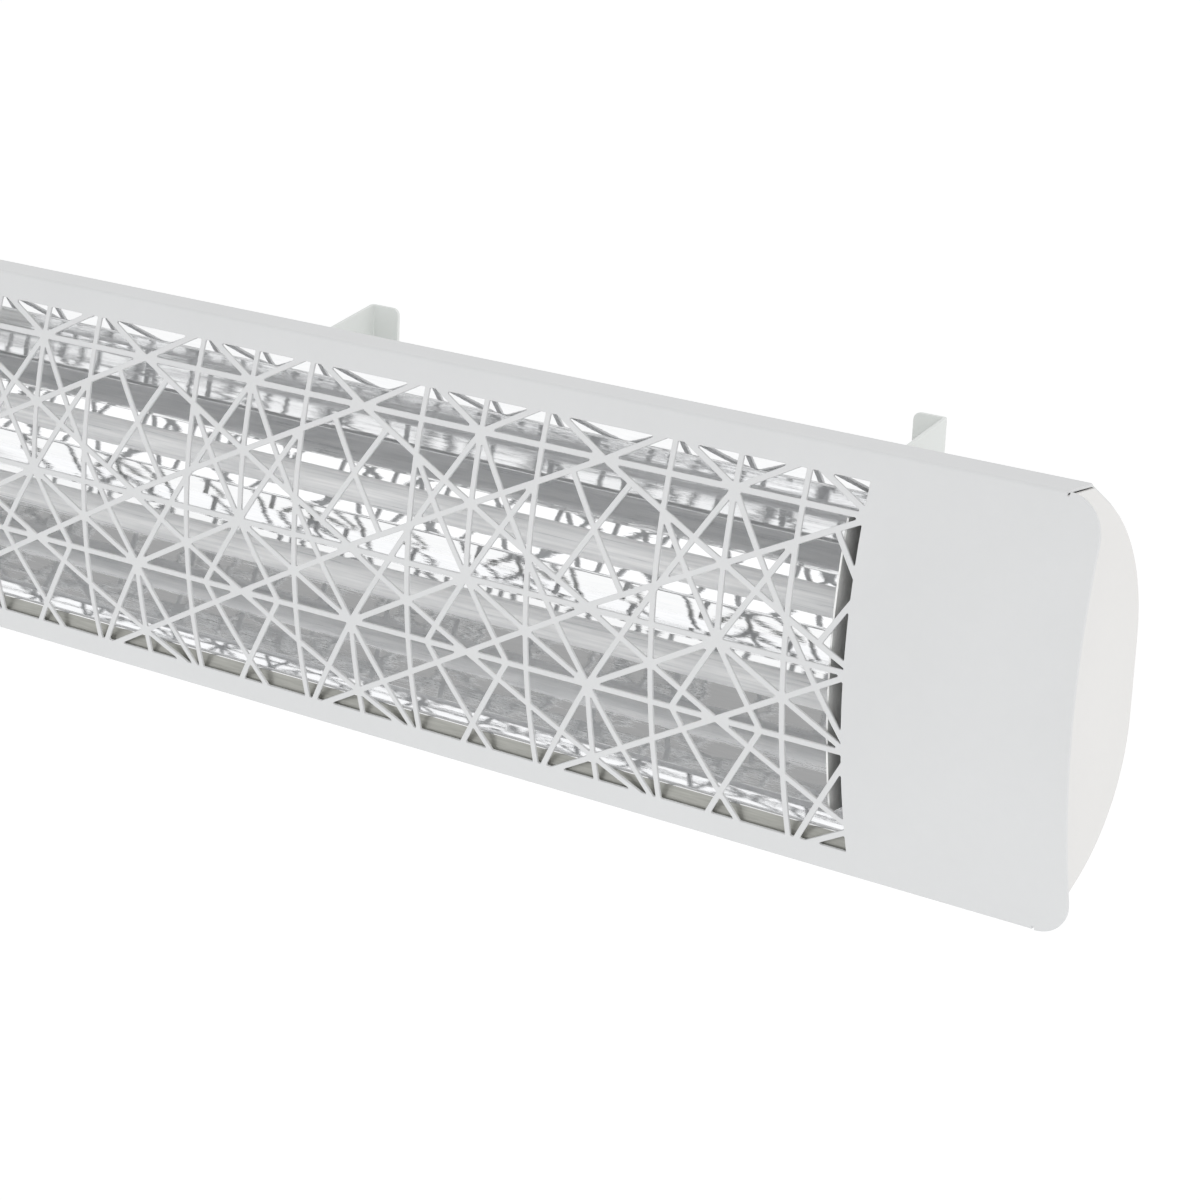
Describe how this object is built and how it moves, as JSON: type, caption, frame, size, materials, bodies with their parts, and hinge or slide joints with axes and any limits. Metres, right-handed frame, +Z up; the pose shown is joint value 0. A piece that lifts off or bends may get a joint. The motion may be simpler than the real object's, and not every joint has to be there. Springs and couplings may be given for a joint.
{
  "type": "wall-mounted radiant strip heater",
  "caption": "Long white sheet-metal strip heater with a bowed lattice front over two quartz tubes and a mirror reflector, tilting on wall brackets.",
  "frame": {"origin": "on the wall plane at mid length and mid height: the back face of the centre bracket's wall plate", "axes": "+X along the heater's length, towards the end with the supply entry; +Y into the wall, so the front faces -Y; +Z up"},
  "size_m": [0.991, 0.1174, 0.2097],
  "materials": {
    "white_coat": "cool white powder coat, fine satin texture",
    "warm_white_coat": "warm white powder coat, satin",
    "polished_aluminium": "bright polished aluminium sheet",
    "grey_steel": "dark grey heat-resisting steel sheet",
    "milky_quartz": "milky satin quartz",
    "resistance_wire": "oxidised resistance wire",
    "white_ceramic": "unglazed steatite ceramic",
    "black_plastic": "black heat-resisting moulding",
    "glass_sleeve": "woven glass sleeving over wire",
    "zinc_steel": "zinc-plated steel"
  },
  "bodies": {
    "wall_brackets": {"pivot_bolt_centre": "zinc_steel", "pivot_bolt_left": "zinc_steel", "pivot_bolt_right": "zinc_steel", "pivot_nut_centre": "zinc_steel", "pivot_nut_left": "zinc_steel", "pivot_nut_right": "zinc_steel", "pivot_washer_centre": "zinc_steel", "pivot_washer_left": "zinc_steel", "pivot_washer_right": "zinc_steel", "wall_bracket_centre": "white_coat", "wall_bracket_left": "white_coat", "wall_bracket_right": "white_coat"},
    "heater": {"bulkhead_left": "grey_steel", "bulkhead_right": "grey_steel", "cable_gland": "black_plastic", "cap_screw_lower_left": "zinc_steel", "cap_screw_lower_right": "zinc_steel", "cap_screw_upper_left": "zinc_steel", "cap_screw_upper_right": "zinc_steel", "ceramic_end_lower_left": "white_ceramic", "ceramic_end_lower_right": "white_ceramic", "ceramic_end_upper_left": "white_ceramic", "ceramic_end_upper_right": "white_ceramic", "ceramic_holder_left": "grey_steel", "ceramic_holder_right": "grey_steel", "ear_rivet_lower_centre": "zinc_steel", "ear_rivet_lower_left": "zinc_steel", "ear_rivet_lower_right": "zinc_steel", "ear_rivet_upper_centre": "zinc_steel", "ear_rivet_upper_left": "zinc_steel", "ear_rivet_upper_right": "zinc_steel", "earth_stud": "zinc_steel", "end_cap_left": "warm_white_coat", "end_cap_right": "warm_white_coat", "fascia_panel": "white_coat", "fascia_screw_1": "zinc_steel", "fascia_screw_2": "zinc_steel", "fascia_screw_3": "zinc_steel", "fascia_screw_4": "zinc_steel", "gland_nut": "black_plastic", "hanger_ear_centre": "white_coat", "hanger_ear_left": "white_coat", "hanger_ear_right": "white_coat", "heating_coil_lower": "resistance_wire", "heating_coil_upper": "resistance_wire", "lead_link": "glass_sleeve", "lead_lower": "glass_sleeve", "lead_upper": "glass_sleeve", "quartz_tube_lower": "milky_quartz", "quartz_tube_upper": "milky_quartz", "rear_casing": "white_coat", "reflector": "polished_aluminium", "terminal_block": "black_plastic"}
  },
  "joints": [
    {"name": "tilt", "type": "hinge", "parent": "wall_brackets", "child": "heater", "pos_m": [0, -0.0095, -0.034], "axis": [1, 0, 0], "range_deg": [0, 45]}
  ]
}
